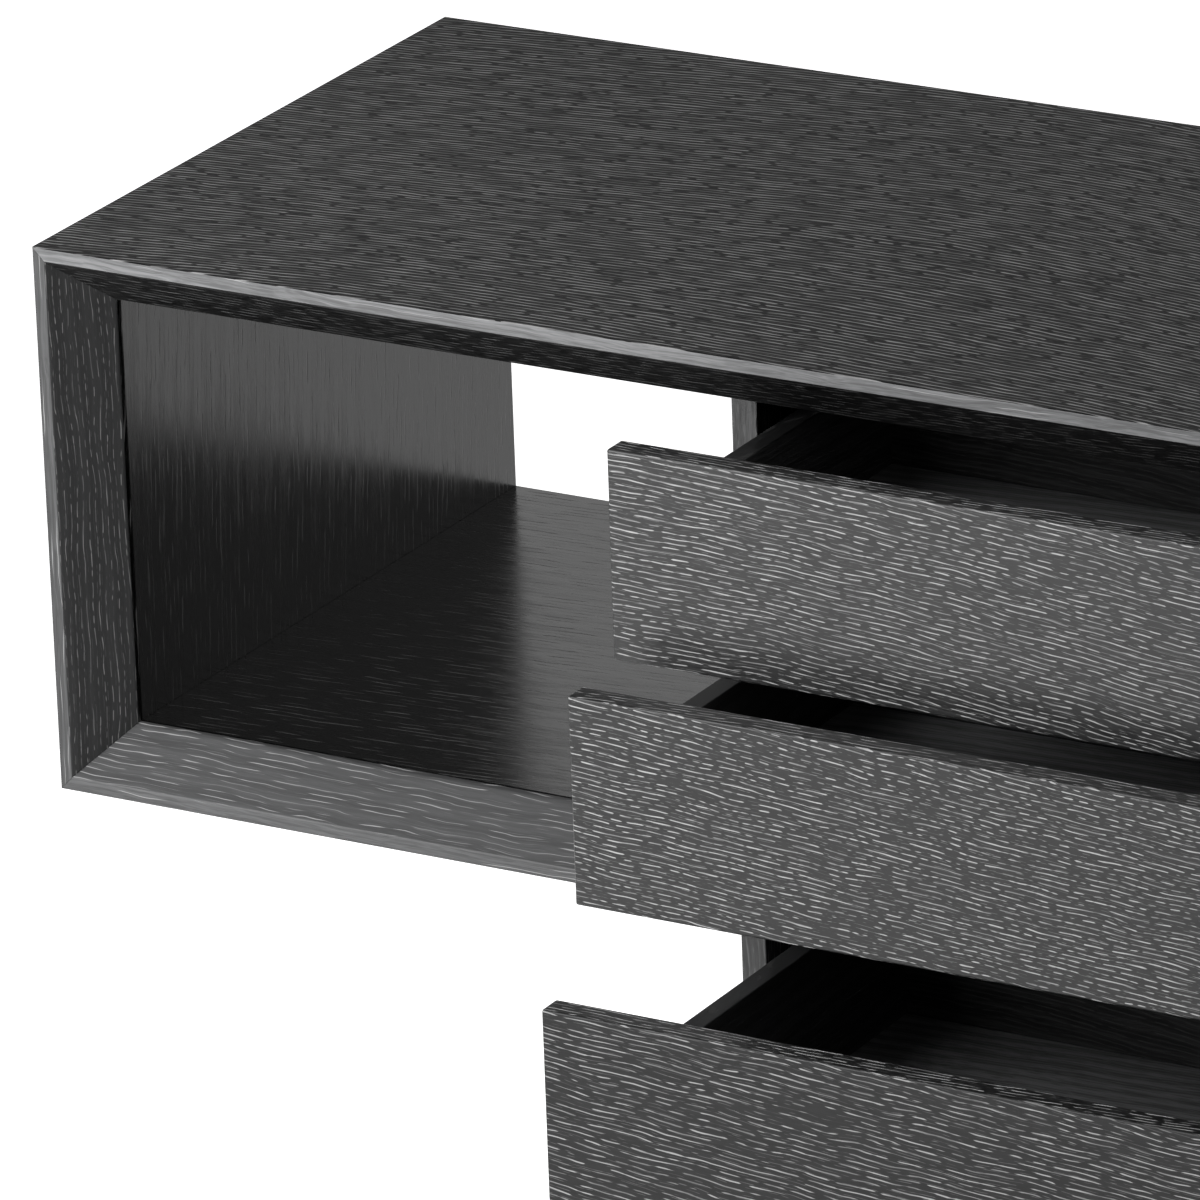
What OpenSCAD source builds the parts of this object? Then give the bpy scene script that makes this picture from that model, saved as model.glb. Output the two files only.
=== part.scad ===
// Console table: a long box of thick mitred boards, open at both ends of its length,
// with a bank of two drawers in its middle, carried by a base with two deeper drawers
// on a recessed plinth. All sizes in millimetres. The origin is on the floor, under the
// centre of the box; +X runs to the right, +Y to the back and +Z up.
// The drawers are drawn part open, drawer 1 least and drawer 3 most, and drawer 4 closed.

/* [Overall] */
// Length of the box
table_w = 1800; // [1600:10:2000]
// Depth of the box
table_d = 450; // [440:5:500]
// Height of the table from floor to top
table_h = 760; // [750:5:800]

/* [Box] */
// Height of the long box
box_h = 322; // [316:1:330]
// Thickness of the box's boards
board_t = 36; // [30:1:38]
// Width of the flat front edge before the bevel
edge_w = 8; // [6:0.5:12]
// Depth of the bevel behind the front edge
bevel_d = 30; // [20:1:36]
// Width of the drawer bank, over the outer faces of its dividers
bank_w = 1004; // [900:2:1060]
// Thickness of the dividers and of the base's boards
side_t = 16; // [15:0.5:19]
// Distance of the dividers' front edge behind the front of the box
divider_setback = 76; // [72:1:90]
// Thickness of the back panels
back_t = 8; // [6:1:10]
// Distance of the back panels' outer face in front of the back of the box
back_inset = 12; // [8:1:20]

/* [Base] */
// Height of the plinth, with its glides
plinth_h = 100; // [90:1:108]
// Distance of the base sides' front edge behind the front of the box
base_setback = 68; // [64:1:80]
// Distance of the plinth's sides inside the base's sides
plinth_inset = 40; // [30:1:60]
// Distance of the plinth's front behind the base sides' front edge
plinth_setback = 27; // [20:1:50]
// Height of the floor glides
glide_h = 3; // [2:0.5:5]
// Height of the base board's edge that shows below the last front
base_reveal = 2; // [1:0.5:4]

/* [Drawer fronts] */
// Thickness of a drawer front
front_t = 16; // [15:0.5:19]
// Gap above, below and between the fronts
front_gap = 3; // [2:0.5:4]
// Gap between the underside of the box and the first base drawer
shadow_gap = 6.5; // [5:0.5:9]
// Space between a closed front and the edge of the carcass
closing_gap = 2; // [1.5:0.5:3]

/* [Drawer boxes] */
// Thickness of the drawer box's sides, back and sub-front
box_t = 13; // [10:0.5:13]
// Thickness of the drawer bottom
bottom_t = 8; // [6:0.5:9]
// Distance of an upper drawer box's top edge below its front's top edge
upper_box_drop = 25; // [20:1:30]
// Clear depth inside an upper drawer box
upper_inner_h = 57; // [48:1:60]
// Length of an upper drawer box, front to back
upper_box_l = 235; // [225:1:280]
// Distance of a lower drawer box's top edge below its front's top edge
lower_box_drop = 41.5; // [36:0.5:48]
// Clear depth inside a lower drawer box
lower_inner_h = 79; // [70:1:84]
// Length of a lower drawer box, front to back
lower_box_l = 325; // [315:1:350]

/* [Slides] */
// Space for a slide between a drawer box and the carcass
slide_gap = 12.7; // [12.7:0.1:13.2]
// Length of the upper drawers' slides, which is also their travel
upper_slide_l = 200; // [180:10:210]
// Length of the lower drawers' slides, which is also their travel
lower_slide_l = 300; // [250:10:310]
// Sheet thickness of the slide rails
rail_t = 1.2; // [1:0.1:1.4]

/* [Fittings] */
// Thickness of the loose tongues in the mitres
spline_t = 4; // [3:0.5:5]
// Width of the loose tongues, across the mitre
spline_w = 22; // [16:1:24]
// Radius of the dowels
dowel_r = 4; // [3:0.5:4.5]
// Length of the dowels
dowel_l = 30; // [24:1:34]
// Radius of the wood screws
screw_r = 2; // [1.5:0.25:2.5]
// Length of the wood screws
screw_l = 30; // [25:1:34]

/* [Drawers as drawn] */
// How far drawer 1 stands open
open_1 = 117; // [0:1:180]
// How far drawer 2 stands open
open_2 = 167; // [0:1:180]
// How far drawer 3 stands open
open_3 = 199; // [0:1:250]
// How far drawer 4 stands open
open_4 = 0; // [0:1:250]

/* [Hidden] */
$fn = 32;
eps = 0.01;

drawers = [1, 2, 3, 4];
drawer_pieces = ["front", "box_front", "left_side", "right_side", "back", "bottom",
                 "runners", "middle_rails", "front_screws"];
carcass_pieces = ["top_panel", "bottom_panel", "left_end_panel", "right_end_panel",
                  "mitre_splines", "left_divider", "right_divider", "upper_back_panel",
                  "base_left_side", "base_right_side", "base_top_board", "base_bottom_board",
                  "base_back_panel", "carcass_dowels", "carcass_screws",
                  "plinth_front", "plinth_back", "plinth_left_side", "plinth_right_side",
                  "plinth_brace", "floor_glides", "closing_bumpers",
                  "upper_cabinet_rails", "lower_cabinet_rails"];

// Colours
oak = [0.19, 0.19, 0.20];
oak_front = [0.26, 0.26, 0.27];
dark_oak = [0.07, 0.07, 0.075];
steel = [0.62, 0.63, 0.65];
beech = [0.70, 0.56, 0.40];
nylon = [0.12, 0.12, 0.12];
silicone = [0.80, 0.82, 0.84];

// Places along Y
front_y = -table_d / 2;
back_y = table_d / 2;
back_panel_y = back_y - back_inset - back_t;
divider_y = front_y + divider_setback;
base_y = front_y + base_setback;

// Places along Z
box_z = table_h - box_h;
base_h = box_z - plinth_h;
floor_in_z = box_z + board_t;
ceiling_z = table_h - board_t;

// Places along X, measured from the middle
bank_x = bank_w / 2;
bank_inner_x = bank_x - side_t;
drawer_x = bank_inner_x - slide_gap;

// Drawer fronts
upper_front_h = (ceiling_z - floor_in_z - 3 * front_gap) / 2;
lower_front_h = (base_h - shadow_gap - front_gap - base_reveal) / 2;

// Mitre splines: how far in from the box's corner, front and back, and their glue gap
spline_in = 0.62 * board_t;
spline_front = 45;
spline_back = 20;
spline_clear = 0.1;

// Dowels, behind the front edge of the board they are in
dowel_ys = [40, 165, 290];
dowel_in_board = 20;

// Screws
screw_head_r = 4;
screw_head_h = 2.4;
screw_point = 3;
base_screw_xs = [-400, 0, 400];
base_screw_ys = [-115, 150];
plinth_screw_inset = 60;
front_screw_l = 24;
front_screw_inset = 70;
front_screw_margin = 12;

// Plinth
plinth_back_inset = 25;
plinth_x = bank_x - plinth_inset;
plinth_y0 = base_y + plinth_setback;
plinth_y1 = back_y - plinth_back_inset;

// Floor glides
glide_r = 7;
glide_pin_r = 1.5;
glide_pin_l = 18;

// Bumpers, which stop just short of the closed fronts
bumper_r = 4;
bumper_lift = 45;
bumper_h = closing_gap - 0.2;

// Slides, across their thickness from the carcass: cabinet rail, middle rail, runner
rail_h = 45;
rail_depth = 9.6;
middle_h = 36;
middle_x = 3.2;
middle_depth = 6.4;
runner_h = 26;
runner_depth = 5.4;
rail_lift = 6;
rail_setback = 3;

// Grooves for the back panels and the drawer bottoms
groove_d = 5;
groove_clear = 0.1;
bottom_lift = 10;

// Where each drawer is: is it in the box, its front's top edge and its opening
function in_box(n) = n <= 2;
function front_h(n) = in_box(n) ? upper_front_h : lower_front_h;
function front_top(n) =
    n == 1 ? ceiling_z - front_gap :
    n == 2 ? ceiling_z - 2 * front_gap - upper_front_h :
    n == 3 ? box_z - shadow_gap :
    box_z - shadow_gap - front_gap - lower_front_h;
function opening(n) = [open_1, open_2, open_3, open_4][n - 1];
function closed_rear_y(n) = (in_box(n) ? divider_y : base_y) - closing_gap;
function rear_y(n) = closed_rear_y(n) - opening(n);

// Drawer box sizes
function box_l(n) = in_box(n) ? upper_box_l : lower_box_l;
function box_top(n) = front_top(n) - (in_box(n) ? upper_box_drop : lower_box_drop);
function box_floor(n) = box_top(n) - (in_box(n) ? upper_inner_h : lower_inner_h);
function box_low(n) = box_floor(n) - bottom_t - bottom_lift;
function box_back_y(n) = rear_y(n) + box_l(n) - box_t;
function slide_l(n) = in_box(n) ? upper_slide_l : lower_slide_l;
function slide_z(n) = box_low(n) + rail_h / 2 + rail_lift;
function slide_y(n) = (in_box(n) ? divider_y : base_y) + rail_setback;

// ---------- helpers ----------

// A block given by its lowest and highest corners
module block(lo, hi) {
    translate(lo) cube(hi - lo);
}

// The children and their mirror image across the middle
module both_sides() {
    children();
    mirror([1, 0, 0]) children();
}

// The children as drawn on the right for side = 1, or mirrored to the left for side = -1
module on_side(side) {
    mirror([side < 0 ? 1 : 0, 0, 0]) children();
}

// A round bar along X, Y or Z from a point
module bar_x(p, r, l) {
    translate(p) rotate([0, 90, 0]) cylinder(r = r, h = l);
}

module bar_y(p, r, l) {
    translate(p) rotate([-90, 0, 0]) cylinder(r = r, h = l);
}

module bar_z(p, r, l) {
    translate(p) cylinder(r = r, h = l);
}

// ---------- the long box ----------

// One mitred board of the box, flat on its outer face at z = 0 and centred on x = 0,
// with its inner face at z = -board_t and its front edge bevelled towards the inner face
module frame_board(length) {
    half = length / 2;
    difference() {
        translate([0, back_y, 0]) rotate([90, 0, 0]) linear_extrude(table_d)
            polygon([[-half, 0], [half, 0], [half - board_t, -board_t], [-half + board_t, -board_t]]);
        rotate([90, 0, 90]) linear_extrude(length + 2, center = true)
            polygon([[front_y, -edge_w], [front_y + bevel_d, -board_t], [front_y + bevel_d, -board_t - 1],
                     [front_y - 1, -board_t - 1], [front_y - 1, -edge_w]]);
    }
}

// The four loose tongues in the mitred corners, each across its mitre
module splines(clear) {
    spline_l = table_d - spline_front - spline_back;
    middle = [0, (spline_front - spline_back) / 2, box_z + box_h / 2];
    for (side = [-1, 1], up = [-1, 1])
        translate(middle + [side * (table_w / 2 - spline_in), 0, up * (box_h / 2 - spline_in)])
            rotate([0, -45 * side * up, 0])
                cube([spline_t, spline_l, spline_w] + 2 * clear * [1, 1, 1], center = true);
}

// Dowels between the dividers and the box, and between the base's sides and its boards
module dowels() {
    divider_mid_x = bank_x - side_t / 2;
    for (dy = dowel_ys) {
        both_sides() {
            bar_z([divider_mid_x, divider_y + dy, ceiling_z - dowel_l / 2], dowel_r, dowel_l);
            bar_z([divider_mid_x, divider_y + dy, floor_in_z - dowel_l / 2], dowel_r, dowel_l);
            bar_x([bank_inner_x - dowel_in_board, base_y + dy, box_z - side_t / 2], dowel_r, dowel_l);
            bar_x([bank_inner_x - dowel_in_board, base_y + dy, plinth_h + side_t / 2], dowel_r, dowel_l);
        }
    }
}

module top_panel() {
    color(oak) difference() {
        translate([0, 0, table_h]) frame_board(table_w);
        splines(spline_clear);
        dowels();
    }
}

module bottom_panel() {
    color(oak) difference() {
        translate([0, 0, box_z]) mirror([0, 0, 1]) frame_board(table_w);
        splines(spline_clear);
        dowels();
        base_screws();
    }
}

module end_panel(side) {
    color(oak) difference() {
        translate([side * table_w / 2, 0, box_z + box_h / 2]) rotate([0, side * 90, 0]) frame_board(box_h);
        splines(spline_clear);
    }
}

module mitre_splines() {
    color(beech) splines(0);
}

module divider(side) {
    color(oak) difference() {
        on_side(side) block([bank_inner_x, divider_y, floor_in_z], [bank_x, back_y, ceiling_z]);
        dowels();
        back_groove(floor_in_z, ceiling_z);
        bumpers();
    }
}

// Space for a back panel and the grooves that hold its edges
module back_groove(z0, z1) {
    half = bank_inner_x + groove_d;
    block([-half, back_panel_y - groove_clear, z0 - 1],
          [half, back_panel_y + back_t + groove_clear, z1 + 1]);
}

module back_panel(z0, z1) {
    half = bank_inner_x + groove_d - groove_clear;
    color(dark_oak) block([-half, back_panel_y, z0], [half, back_panel_y + back_t, z1]);
}

// ---------- the base ----------

module base_side(side) {
    color(oak) difference() {
        on_side(side) block([bank_inner_x, base_y, plinth_h], [bank_x, back_y, box_z]);
        dowels();
        back_groove(plinth_h + side_t, box_z - side_t);
        bumpers();
    }
}

module base_board(z0) {
    color(dark_oak) difference() {
        block([-bank_inner_x, base_y, z0], [bank_inner_x, back_y, z0 + side_t]);
        dowels();
        base_screws();
        plinth_screws();
        back_groove(plinth_h + side_t, box_z - side_t);
    }
}

// A countersunk wood screw, head up at z = 0 and its shank going down
module wood_screw() {
    rotate_extrude()
        polygon([[0, 0], [screw_head_r, 0], [screw_r, -screw_head_h],
                 [screw_r, -screw_l + screw_point], [0, -screw_l]]);
}

// Screws up through the base's top board into the box
module base_screws() {
    for (x = base_screw_xs, y = base_screw_ys)
        translate([x, y, box_z - side_t]) mirror([0, 0, 1]) wood_screw();
}

// Screws down through the base's bottom board into the plinth
module plinth_screws() {
    for (x = [-plinth_x + plinth_screw_inset, plinth_x - plinth_screw_inset],
         y = [plinth_y0 + side_t / 2, plinth_y1 - side_t / 2])
        translate([x, y, plinth_h + side_t]) wood_screw();
}

module carcass_screws() {
    color(steel) {
        base_screws();
        plinth_screws();
    }
}

module carcass_dowels() {
    color(beech) dowels();
}

// ---------- the plinth ----------

module plinth_board(lo, hi) {
    color(dark_oak) difference() {
        block(lo, hi);
        plinth_screws();
        glides();
    }
}

module plinth_rail(y0) {
    plinth_board([-plinth_x, y0, glide_h], [plinth_x, y0 + side_t, plinth_h]);
}

module plinth_side(x0) {
    plinth_board([x0, plinth_y0 + side_t, glide_h], [x0 + side_t, plinth_y1 - side_t, plinth_h]);
}

// Round glides under the plinth's corners and under the middle of its brace
module glides() {
    x = plinth_x - side_t / 2;
    for (p = [[-x, plinth_y0 + side_t / 2], [x, plinth_y0 + side_t / 2], [0, 0],
              [-x, plinth_y1 - side_t / 2], [x, plinth_y1 - side_t / 2]]) {
        bar_z([p[0], p[1], 0], glide_r, glide_h);
        bar_z([p[0], p[1], glide_h - eps], glide_pin_r, glide_pin_l);
    }
}

module floor_glides() {
    color(nylon) glides();
}

// ---------- slides ----------

// Outline of a channel rail with its web at x = 0 and its lips towards +X
module channel(depth, height) {
    translate([0, -height / 2]) square([rail_t, height]);
    for (z = [-height / 2, height / 2 - rail_t])
        translate([0, z]) square([depth, rail_t]);
}

// A rail along Y on both sides of a drawer; the outline's x counts inwards from the carcass
module rail_pair(n, y, l) {
    both_sides()
        translate([-bank_inner_x, y + l, slide_z(n)]) rotate([90, 0, 0]) linear_extrude(l) children();
}

module cabinet_rails(list) {
    color(steel) for (n = list)
        rail_pair(n, slide_y(n), slide_l(n)) channel(rail_depth, rail_h);
}

module middle_rails(n) {
    color(steel) rail_pair(n, slide_y(n) - opening(n) / 2, slide_l(n))
        translate([middle_x, 0]) channel(middle_depth, middle_h);
}

module runners(n) {
    color(steel) rail_pair(n, slide_y(n) - opening(n), slide_l(n))
        translate([slide_gap, 0]) mirror([1, 0]) channel(runner_depth, runner_h);
}

// Soft pads on the carcass edge that the fronts close on, one on each side of a drawer
module bumpers() {
    for (n = drawers) {
        y = closed_rear_y(n) + closing_gap - bumper_h;
        z = front_top(n) - front_h(n) + bumper_lift;
        both_sides() bar_y([bank_x - side_t / 2, y, z], bumper_r, bumper_h);
    }
}

module closing_bumpers() {
    color(silicone) bumpers();
}

// ---------- drawers ----------

// Screws from inside the drawer box into its front
module front_screw_set(n) {
    for (x = [-drawer_x + front_screw_inset, drawer_x - front_screw_inset],
         z = [box_floor(n) + front_screw_margin, box_top(n) - front_screw_margin])
        translate([x, rear_y(n) + box_t, z]) rotate([-90, 0, 0]) front_screw();
}

// A pan-head screw with its head above z = 0 and its shank below
module front_screw() {
    cylinder(r = screw_head_r, h = screw_head_h);
    translate([0, 0, -front_screw_l]) cylinder(r = screw_r, h = front_screw_l);
}

module drawer_front(n) {
    color(oak_front) difference() {
        block([-bank_x, rear_y(n) - front_t, front_top(n) - front_h(n)], [bank_x, rear_y(n), front_top(n)]);
        front_screw_set(n);
    }
}

// The drawer bottom, with or without clearance, let into the four walls of the box
module bottom_plate(n, clear) {
    half = drawer_x - box_t + groove_d - groove_clear + clear;
    block([-half, rear_y(n) + box_t - groove_d + groove_clear - clear, box_floor(n) - bottom_t],
          [half, rear_y(n) + box_l(n) - box_t + groove_d - groove_clear + clear, box_floor(n)]);
}

module drawer_wall(n, lo, hi) {
    color(dark_oak) difference() {
        block(lo, hi);
        bottom_plate(n, groove_clear);
        front_screw_set(n);
    }
}

module drawer_side(n, side) {
    on_side(side)
        drawer_wall(n, [drawer_x - box_t, rear_y(n), box_low(n)],
                    [drawer_x, rear_y(n) + box_l(n), box_top(n)]);
}

module drawer_cross_wall(n, y0) {
    half = drawer_x - box_t;
    drawer_wall(n, [-half, y0, box_low(n)], [half, y0 + box_t, box_top(n)]);
}

module drawer_bottom(n) {
    color(dark_oak) bottom_plate(n, 0);
}

module drawer_front_screws(n) {
    color(steel) front_screw_set(n);
}

top_panel();
bottom_panel();
end_panel(-1);  // left_end_panel
end_panel(1);  // right_end_panel
mitre_splines();
divider(-1);  // left_divider
divider(1);  // right_divider
back_panel(floor_in_z, ceiling_z);  // upper_back_panel
base_side(-1);  // base_left_side
base_side(1);  // base_right_side
base_board(box_z - side_t);  // base_top_board
base_board(plinth_h);  // base_bottom_board
back_panel(plinth_h + side_t, box_z - side_t);  // base_back_panel
carcass_dowels();
carcass_screws();
plinth_rail(plinth_y0);  // plinth_front
plinth_rail(plinth_y1 - side_t);  // plinth_back
plinth_side(-plinth_x);  // plinth_left_side
plinth_side(plinth_x - side_t);  // plinth_right_side
plinth_side(-side_t / 2);  // plinth_brace
floor_glides();
closing_bumpers();
cabinet_rails([1, 2]);  // upper_cabinet_rails
cabinet_rails([3, 4]);  // lower_cabinet_rails
for (n = drawers) {
    drawer_front(n);
    drawer_cross_wall(n, rear_y(n));
    drawer_side(n, -1);
    drawer_side(n, 1);
    drawer_cross_wall(n, box_back_y(n));
    drawer_bottom(n);
    runners(n);
    middle_rails(n);
    drawer_front_screws(n);
}
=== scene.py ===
import math

import bmesh
import bpy
from mathutils import Euler, Matrix, Vector


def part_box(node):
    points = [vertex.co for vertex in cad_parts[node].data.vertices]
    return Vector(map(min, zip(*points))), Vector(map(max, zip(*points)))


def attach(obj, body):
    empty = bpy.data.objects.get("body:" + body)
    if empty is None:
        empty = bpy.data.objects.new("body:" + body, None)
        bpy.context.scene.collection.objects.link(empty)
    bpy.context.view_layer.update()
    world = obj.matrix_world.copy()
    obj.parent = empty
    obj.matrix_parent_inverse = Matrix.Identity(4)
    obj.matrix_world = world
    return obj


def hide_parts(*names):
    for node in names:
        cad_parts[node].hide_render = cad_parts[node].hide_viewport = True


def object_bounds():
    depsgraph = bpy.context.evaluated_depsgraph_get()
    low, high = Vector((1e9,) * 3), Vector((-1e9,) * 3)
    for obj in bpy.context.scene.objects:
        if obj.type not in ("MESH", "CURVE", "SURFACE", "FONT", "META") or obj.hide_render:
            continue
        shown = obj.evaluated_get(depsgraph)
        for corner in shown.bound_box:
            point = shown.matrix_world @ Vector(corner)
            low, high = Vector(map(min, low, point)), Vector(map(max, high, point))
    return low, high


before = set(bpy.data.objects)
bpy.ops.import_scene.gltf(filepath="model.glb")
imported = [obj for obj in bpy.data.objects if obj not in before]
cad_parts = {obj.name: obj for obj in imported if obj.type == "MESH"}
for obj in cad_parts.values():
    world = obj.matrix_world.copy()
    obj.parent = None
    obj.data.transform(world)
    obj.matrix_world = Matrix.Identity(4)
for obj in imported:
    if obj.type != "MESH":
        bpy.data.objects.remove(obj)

CAD_LOW, CAD_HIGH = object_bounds()

DRAWERS = (1, 2, 3, 4)

# Board shapes, in metres
EDGE_WIDTH = 0.008
BEVEL_DEPTH = 0.030
ARRIS = 0.0009
FRONT_ARRIS = 0.0013
SOFT_ARRIS = 0.0026
MITRE_ARRIS = 0.0002
ARRIS_SEGMENTS = 3

# Fittings: lengths in metres, and shares of a head, disc or pad where they have no unit
SAME_POINT = 1e-6
SHARP_ANGLE = math.radians(40)
TURN_STEPS = 32
HEAD_RINGS = 8
HEAD_RIM = 0.55
RECESS_WIDTH = 0.0011
RECESS_RADIUS = 0.0023
RECESS_DEPTH = 0.0009
SHANK_RADIUS = 0.002
POINT_LENGTH = 0.004
BLUNT_LENGTH = 0.001
BLUNT_RADIUS = 0.0006
COUNTERSINK = 0.6
RIM_HEIGHT = 0.0003
FLUSH = 0.00001
PAD_RIM = 0.35
GLIDE_FOOT = 0.8
GLIDE_EDGE = (0.95, 0.2)
GLIDE_SHOULDER = 0.5
GLIDE_PIN_RADIUS = 0.0015
GLIDE_POINT = 0.002
RAIL_SHEET = 0.0012
RAIL_ARRIS = 0.0004
RAIL_HEAD_RADIUS = 0.0034
RAIL_HEAD_HEIGHT = 0.0012
RAIL_SCREW_PLACES = (0.08, 0.36, 0.64, 0.92)


# ---------- mesh helpers ----------

def link(name, mesh):
    piece = bpy.data.objects.new(name, mesh)
    bpy.context.scene.collection.objects.link(piece)
    return piece


def add_board(name, outline, reach, place, arris=ARRIS, end_arris=None, face_slots=None,
              soft_corners=()):
    """A board swept from a closed outline of (u, v) points. reach(u, v) gives where the sweep
    starts and stops, and place(s, u, v) puts a point in the CAD frame. face_slots gives each side's
    material, and soft_corners are the outline's corners that are rounded by SOFT_ARRIS."""
    end_arris = arris if end_arris is None else end_arris
    widest = max(arris, end_arris, SOFT_ARRIS if soft_corners else 0.0)
    bm = bmesh.new()
    weight = bm.edges.layers.float.new("bevel_weight_edge")
    rings = [[bm.verts.new(place(reach(u, v)[end], u, v)) for u, v in outline] for end in (0, 1)]
    count = len(outline)
    for i in range(count):
        j = (i + 1) % count
        face = bm.faces.new((rings[0][i], rings[0][j], rings[1][j], rings[1][i]))
        face.material_index = face_slots[i] if face_slots else 0
    caps = [bm.faces.new(ring) for ring in rings]
    cap_edges = {edge for cap in caps for edge in cap.edges}
    for edge in bm.edges:
        edge[weight] = (end_arris if edge in cap_edges else arris) / widest
    for corner in soft_corners:
        bm.edges.get((rings[0][corner], rings[1][corner]))[weight] = SOFT_ARRIS / widest
    bmesh.ops.recalc_face_normals(bm, faces=bm.faces)
    mesh = bpy.data.meshes.new(name)
    bm.to_mesh(mesh)
    bm.free()
    mesh.shade_smooth()
    piece = link(name, mesh)
    rounding = piece.modifiers.new("arrises", "BEVEL")
    rounding.limit_method = "WEIGHT"
    rounding.width = widest
    rounding.segments = ARRIS_SEGMENTS
    rounding.harden_normals = True
    return piece


def along_x(s, u, v):
    return Vector((s, u, v))


def along_y(s, u, v):
    return Vector((u, s, v))


def along_z(s, u, v):
    return Vector((u, v, s))


def rectangle(u0, v0, u1, v1):
    return [(u0, v0), (u1, v0), (u1, v1), (u0, v1)]


def grooved(u_face, u_far, v0, v1, groove_v0, groove_v1, groove_u):
    """A rectangle with a groove in its face at u_face, cut as deep as groove_u."""
    return [(u_face, v0), (u_far, v0), (u_far, v1), (u_face, v1),
            (u_face, groove_v1), (groove_u, groove_v1), (groove_u, groove_v0), (u_face, groove_v0)]


# ---------- material helpers ----------

NOISE_LOW, NOISE_HIGH = 0.3, 0.7


def add_node(tree, kind, inputs=None, **settings):
    made = tree.nodes.new(kind)
    for key, value in settings.items():
        setattr(made, key, value)
    for key, value in (inputs or {}).items():
        if isinstance(value, bpy.types.NodeSocket):
            tree.links.new(value, made.inputs[key])
        else:
            made.inputs[key].default_value = value
    return made


def maths(tree, operation, first, second=0.0, clamp=False):
    made = add_node(tree, "ShaderNodeMath", {0: first, 1: second},
                    operation=operation, use_clamp=clamp)
    return made.outputs[0]


def times(tree, first, second):
    return maths(tree, "MULTIPLY", first, second)


def plus(tree, first, second):
    return maths(tree, "ADD", first, second)


def scaled(tree, vector, scale):
    made = add_node(tree, "ShaderNodeVectorMath", {0: vector, 1: scale}, operation="MULTIPLY")
    return made.outputs["Vector"]


def noise(tree, vector, detail=0.0, roughness=0.5):
    made = add_node(tree, "ShaderNodeTexNoise",
                    {"Vector": vector, "Scale": 1.0, "Detail": detail, "Roughness": roughness},
                    noise_dimensions="3D")
    return made


def ramp(tree, value, low, high, to_low=0.0, to_high=1.0):
    made = add_node(tree, "ShaderNodeMapRange",
                    {"Value": value, "From Min": low, "From Max": high,
                     "To Min": to_low, "To Max": to_high},
                    interpolation_type="SMOOTHSTEP")
    return made.outputs["Result"]


def spread(tree, value, to_low, to_high):
    """The useful part of a noise, spread over a range."""
    return ramp(tree, value, NOISE_LOW, NOISE_HIGH, to_low, to_high)


def centred(tree, vector, scale, reach):
    """A noise vector around zero, as far as reach along each axis."""
    texture = noise(tree, scaled(tree, vector, scale))
    around = add_node(tree, "ShaderNodeVectorMath",
                      {0: texture.outputs["Color"], 1: (0.5, 0.5, 0.5)}, operation="SUBTRACT")
    return scaled(tree, around.outputs["Vector"], reach)


def added(tree, first, second):
    made = add_node(tree, "ShaderNodeVectorMath", {0: first, 1: second}, operation="ADD")
    return made.outputs["Vector"]


def enlarged(tree, vector, factor):
    made = add_node(tree, "ShaderNodeVectorMath", {0: vector, "Scale": factor}, operation="SCALE")
    return made.outputs["Vector"]


# Pore dashes: how fast they taper, how far apart neighbouring rings read the noise, and how
# bright they are
DASH_TAPER = 7.0
DASH_SOFTNESS = 0.05
RING_STEP = 13.7
TONE_SCALE = (0.5, 0.37, 1.0)
TONE_SHIFT = (3.1, 7.7, 5.3)
FAINTEST, BRIGHTEST = 0.4, 1.05


def dash_layer(tree, along, rings, rate, fill, width, seed):
    """Tapered dashes that follow the rings. rings counts growth rings, rate is dashes per metre
    and width is half a dash's width as a share of the ring spacing."""
    ring = maths(tree, "FLOOR", rings)
    off_line = maths(tree, "ABSOLUTE", maths(tree, "SUBTRACT", maths(tree, "FRACT", rings), 0.5))
    place = add_node(tree, "ShaderNodeCombineXYZ",
                     {"X": times(tree, along, rate), "Y": times(tree, ring, RING_STEP), "Z": seed})
    place = place.outputs[0]
    run = noise(tree, place).outputs["Fac"]
    strength = maths(tree, "MULTIPLY", maths(tree, "SUBTRACT", run, fill), DASH_TAPER, clamp=True)
    reach = maths(tree, "SUBTRACT", times(tree, strength, width), off_line)
    mask = ramp(tree, maths(tree, "DIVIDE", reach, DASH_SOFTNESS), 0.0, 1.0)
    tone_place = added(tree, scaled(tree, place, TONE_SCALE), TONE_SHIFT)
    tone = spread(tree, noise(tree, tone_place).outputs["Fac"], FAINTEST, BRIGHTEST)
    return times(tree, mask, tone)


# Noise scales, in waves per metre along and across the grain, with how far they push the rings
ACROSS = (0.0, 1.0, 1.0)
DRIFT_SCALE = (2.2, 2.6, 2.6)
RIPPLE_SCALE, RIPPLE_REACH = (26.0, 55.0, 55.0), (0.0, 0.0036, 0.0036)
TREMOR_SCALE, TREMOR_REACH = (95.0, 350.0, 350.0), (0.0, 0.0010, 0.0010)
PATCH_SCALE = (5.0, 32.0, 32.0)
PATCH_FILL = 0.03
FIBRE_SCALE = (40.0, 1100.0, 1100.0)
# The slow sway of the whole figure along the board, in metres
SWAY_LENGTH = 1.5
SWAY_MIDDLE = -0.54
# The second layer of finer dashes, against the first
FINE_RINGS = 1.63
FINE_RATE = 1.4
FINE_FILL = 0.05
FINE_WIDTH = 0.8
MAIN_SEED, FINE_SEED = 0.0, 4.1
FINE_STRENGTH = 0.25
# The light and dark of the rings
RINGS_PER_BAND = 3.4
BAND_DEPTH = 0.2
LINE_DEPTH = 0.06
# The figure's inputs and where a finish keeps them
FIGURE_INPUTS = {"Ring Spacing": "spacing", "Heart Side": "side", "Heart Depth": "depth",
                 "Heart Slope": "slope", "Dash Rate": "rate", "Dash Fill": "fill",
                 "Dash Width": "width", "Waver": "waver", "Sway": "sway"}


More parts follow.
